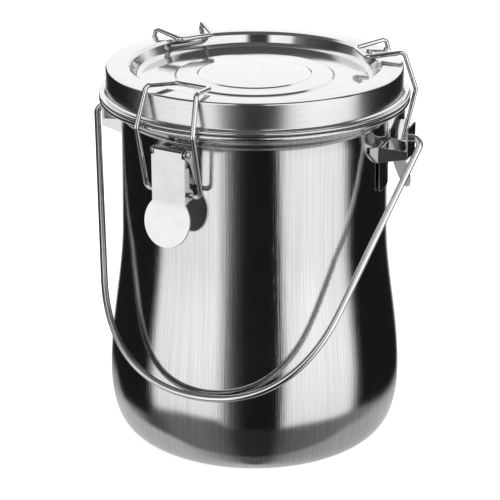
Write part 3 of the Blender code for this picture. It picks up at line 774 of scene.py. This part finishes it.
def ear_outline():
    """The flat pattern as (height, distance): a tall face with clipped corners, two narrow webs."""
    face = EAR_HALF + EAR_WEB_START
    clip = 0.9 * MM
    upper = [(EAR_FACE[0], 0), (EAR_FACE[0], EAR_HALF - clip), (EAR_FACE[0] + clip, face)]
    upper += [(EAR_WEB[0] - clip, face), (EAR_WEB[0], face + EAR_WEB_START)]
    lower = [(EAR_FACE[1], 0), (EAR_FACE[1], face)]
    for distance, limit in zip(EAR_DISTANCES[2:], EAR_LIMITS[2:]):
        upper.append((limit[0], distance))
        lower.append((limit[1], distance))
    other = [(drop, -distance) for drop, distance in lower[1:]]
    other += [(drop, -distance) for drop, distance in upper[:0:-1]]
    return [(CAN_HEIGHT - drop, distance) for drop, distance in upper + lower[::-1] + other]


def tongue_place(along, across, depth):
    """Curves the back plate to the neck; it leans outwards a little towards its lower end."""
    radius = TONGUE_FACE + TONGUE_LEAN * (along - TONGUE_TOP) - depth
    angle = across / radius
    return (radius * sin(angle), radius * cos(angle), CAN_HEIGHT - along)


def add_tongue(grid):
    right = [(10.4, 34.5), (10.4, 39.5), (7.8, 40.8), (7.4, 41.4)]
    right += [(7.4, 54.2), (7.1, 55.2), (6.5, 55.8), (5.6, 56)]
    outline = [(drop * MM, across * MM) for across, drop in right]
    outline += [(drop, -across) for drop, across in outline[::-1]]
    folds = [TONGUE_HALF * i / 5 for i in range(-4, 5)]
    bent_sheet(grid, outline, folds, tongue_place, TONGUE_SHEET)


def pierced(mesh, radius, matrix):
    """A copy of a mesh with a round hole drilled through it along the matrix's z axis."""
    drill_grid = bmesh.new()
    bmesh.ops.create_cone(drill_grid, cap_ends=True, segments=32, radius1=radius, radius2=radius,
                          depth=EAR_DRILL, matrix=matrix)
    drill = bpy.data.objects.new("drill", mesh_from(drill_grid, "drill"))
    sheet = bpy.data.objects.new("sheet", mesh)
    for thing in (drill, sheet):
        bpy.context.scene.collection.objects.link(thing)
    cut = sheet.modifiers.new("hole", "BOOLEAN")
    cut.operation = "DIFFERENCE"
    cut.solver = "EXACT"
    cut.object = drill
    bpy.context.view_layer.update()
    result = bpy.data.meshes.new_from_object(sheet.evaluated_get(bpy.context.evaluated_depsgraph_get()))
    for thing in (drill, sheet):
        used = thing.data
        bpy.data.objects.remove(thing)
        bpy.data.meshes.remove(used)
    return result


def build_ear(side, azimuth):
    folds = [0] + [sign * distance for distance in EAR_DISTANCES[1:-1] for sign in (-1, 1)]
    grid = bmesh.new()
    bent_sheet(grid, ear_outline(), folds, ear_place, SHEET)
    pivot = Matrix.Translation((0, EAR_REACH, CAN_HEIGHT - HANDLE_DROP))
    pivot = pivot @ Matrix.Rotation(pi / 2, 4, "X")
    strip = pierced(mesh_from(grid, "strip"), HANDLE_WIRE + HOLE_GAP, pivot)
    whole = bmesh.new()
    whole.from_mesh(strip)
    bpy.data.meshes.remove(strip)
    add_tongue(whole)
    name = "handle_ear_" + side
    place = Matrix.Rotation(radians(azimuth - 90), 4, "Z")
    thing = piece(name, mesh_from(whole, name), PLATE, "can", "ear_" + side, place)
    soften(thing)


def build_handle():
    start = Vector(HANDLE_LEG)
    down_leg = (start - Vector((HANDLE_HALF, 0))).normalized()
    pull_leg = start + down_leg * HANDLE_PULLS[0]
    pull_middle = Vector((HANDLE_PULLS[1], HANDLE_REACH))
    middle = Vector((0, HANDLE_REACH))
    corners = [Vector((HANDLE_END, 0, 0)), Vector((HANDLE_HALF, 0, 0)), Vector((start.x, 0, -start.y))]
    right = rounded_path(corners, HANDLE_BEND, 14)
    for i in range(1, 41):
        t = i / 40
        point = start * (1 - t) ** 3 + pull_leg * 3 * t * (1 - t) ** 2
        point += pull_middle * 3 * t * t * (1 - t) + middle * t ** 3
        right.append(Vector((point.x, 0, -point.y)))
    left = [Vector((-point.x, 0, point.z)) for point in right[-2::-1]]
    place = Matrix.Translation((0, 0, CAN_HEIGHT - HANDLE_DROP))
    place = place @ Matrix.Rotation(radians(EAR_AZIMUTHS["right"]), 4, "Z")
    place = place @ Matrix.Rotation(-HANDLE_TILT, 4, "X")
    curve = tube("wire_handle", right + left, HANDLE_WIRE)
    piece("wire_handle", curve, WIRE, "handle", "bail_handle", place)


# Studio: a pale floor, soft boxes to both sides and overhead, a light backdrop

def ramp_of(tree, value, stops):
    """A grey ramp over one full turn; stops are (degrees from the front, brightness)."""
    top = max(brightness for _, brightness in stops)
    ramp = add(tree, "ValToRGB", {"Fac": value})
    elements = ramp.color_ramp.elements
    for i, (degrees, brightness) in enumerate(stops):
        position = degrees / 360 + 0.5
        element = elements[i] if i < 2 else elements.new(position)
        element.position = position
        level = brightness / top
        element.color = (level, level, level, 1)
    return maths(tree, "MULTIPLY", ramp.outputs["Color"], top)


def build_world():
    world = bpy.data.worlds.new("studio")
    bpy.context.scene.world = world
    world.use_nodes = True
    tree = world.node_tree
    background = tree.nodes["Background"]
    direction = add(tree, "TexCoord").outputs["Generated"]
    split = add(tree, "SeparateXYZ", {0: direction}).outputs
    azimuth = maths(tree, "ARCTAN2", split[0], maths(tree, "MULTIPLY", split[1], -1.0))
    turn = maths(tree, "MULTIPLY_ADD", azimuth, 1 / (2 * pi), 0.5)
    height = maths(tree, "ARCSINE", split[2])
    floor = ramp_of(tree, turn, FLOOR_STOPS)
    under = ramp_of(tree, turn, UNDER_STOPS)
    sides = ramp_of(tree, turn, SIDE_STOPS)
    upper = ramp_of(tree, turn, UPPER_STOPS)
    above_horizon = maths(tree, "ADD", height, ramp_of(tree, turn, HORIZON_STOPS))
    above_under = maths(tree, "ADD", height, ramp_of(tree, turn, UNDER_LINE_STOPS))
    sides = maths(tree, "MULTIPLY", sides, remap(tree, height, radians(-26), radians(2), 0.88, 1.12))
    level = mix_by(tree, above_under, -2.5, 2.5, under, floor)
    level = mix_by(tree, above_horizon, -1.3, 1.3, level, sides)
    level = mix_by(tree, height, 4, 18, level, upper)
    level = mix_by(tree, height, 46, 54, level, OVERHEAD)
    seen = add(tree, "LightPath").outputs["Is Camera Ray"]
    level = mix_value(tree, seen, level, BACKDROP)
    tree.links.new(level, background.inputs["Color"])
    background.inputs["Strength"].default_value = 1.0


def mix_value(tree, factor, first, second):
    links = {"Factor": factor, 2: first, 3: second}
    return add(tree, "Mix", links, data_type="FLOAT").outputs[0]


def mix_by(tree, height, low, high, below, above):
    factor = remap(tree, height, radians(low), radians(high), 0.0, 1.0, smooth=True)
    return mix_value(tree, factor, below, above)


OVERHEAD = 0.15
BACKDROP = 1.0
SIDE_STOPS = [(-180, 1.25), (-165, 1.0), (-159, 0.015), (-93, 0.015), (-90, 0.08), (-86, 0.9), (-83, 1.3),
              (-45, 1.4), (-31, 1.4), (-27, 0.9), (-23, 0.33), (-18, 0.11), (-13, 0.045), (-8, 0.018),
              (18, 0.014), (20, 0.08), (25, 1.35), (50, 1.5), (78, 1.4), (83, 0.8), (87, 0.12), (92, 0.015),
              (157, 0.015), (165, 1.0), (180, 1.25)]
FLOOR_STOPS = [(-180, 0.5), (-110, 0.3), (-96, 0.1), (-82, 0.12), (-70, 0.2), (-45, 0.22), (-28, 0.16),
               (-16, 0.04), (14, 0.03), (26, 0.14), (50, 0.2), (80, 0.26), (110, 0.35), (180, 0.5)]
UNDER_STOPS = [(-180, 0.72), (-75, 0.62), (-40, 0.36), (-18, 0.14), (16, 0.12), (40, 0.36), (75, 0.5),
               (180, 0.72)]
UPPER_STOPS = [(-180, 1.3), (-125, 1.3), (-112, 0.2), (-90, 0.06), (-60, 0.12), (-48, 0.3), (-42, 1.3),
               (-19, 1.5), (-14, 0.06), (5, 0.05), (10, 1.5), (66, 1.4), (74, 0.05), (92, 0.06),
               (112, 0.2), (125, 1.3), (180, 1.3)]
# Where the side lights end above the floor's reflection, and where the far floor begins, as radians
# below the horizon
HORIZON_STOPS = [(-180, 0.42), (-142, 0.42), (-130, 0.49), (-96, 0.53), (-88, 0.46), (-60, 0.44),
                 (-30, 0.45), (-22, 0.52), (18, 0.52), (26, 0.5), (80, 0.475), (120, 0.475), (180, 0.42)]
UNDER_LINE_STOPS = [(-180, 0.45), (-130, 0.5), (-96, 0.64), (-75, 0.72), (-60, 0.86), (-35, 1.0), (0, 1.08),
                    (35, 0.98), (60, 0.8), (80, 0.62), (110, 0.52), (180, 0.45)]


def build_floor():
    grid = bmesh.new()
    bmesh.ops.create_circle(grid, cap_ends=True, segments=96, radius=4.0)
    mesh = mesh_from(grid, "floor")
    floor = bpy.data.objects.new("floor", mesh)
    bpy.context.scene.collection.objects.link(floor)
    material, _, shader = new_material("floor_paper")
    shader.inputs["Base Color"].default_value = (0.86, 0.86, 0.86, 1)
    shader.inputs["Roughness"].default_value = 0.9
    shader.inputs["Specular IOR Level"].default_value = 0.1
    shader.inputs["Emission Color"].default_value = (1, 1, 1, 1)
    shader.inputs["Emission Strength"].default_value = 0.75
    mesh.materials.append(material)
    floor.visible_glossy = False
    floor.location.z = -0.0004


def build_light(name, place, target, size, energy):
    light = bpy.data.lights.new(name, "AREA")
    light.shape = "DISK"
    light.size = size
    light.energy = energy
    thing = bpy.data.objects.new(name, light)
    bpy.context.scene.collection.objects.link(thing)
    thing.location = place
    aim = Vector(target) - Vector(place)
    thing.rotation_euler = aim.to_track_quat("-Z", "Y").to_euler()
    return thing


def build_camera():
    camera = bpy.data.cameras.new("camera")
    camera.sensor_width = 36
    camera.lens = 121.463
    camera.shift_x = -0.00935
    camera.clip_start = 0.01
    thing = bpy.data.objects.new("camera", camera)
    bpy.context.scene.collection.objects.link(thing)
    thing.location = (0, -0.792, 0.39768)
    thing.rotation_euler = (pi / 2 - 0.3710, 0, 0)
    bpy.context.scene.camera = thing


build_body()
build_lid()
build_seal()
for latch_side, latch_azimuth in LATCH_AZIMUTHS.items():
    build_latch(latch_side, latch_azimuth)
for ear_side, ear_azimuth in EAR_AZIMUTHS.items():
    build_ear(ear_side, ear_azimuth)
build_handle()
build_world()
build_floor()
overhead = build_light("overhead", (0.1, -0.1, 1.6), (0, 0, 0), 1.8, 12)
overhead.visible_glossy = False
build_camera()
bpy.context.scene.view_settings.view_transform = "Standard"
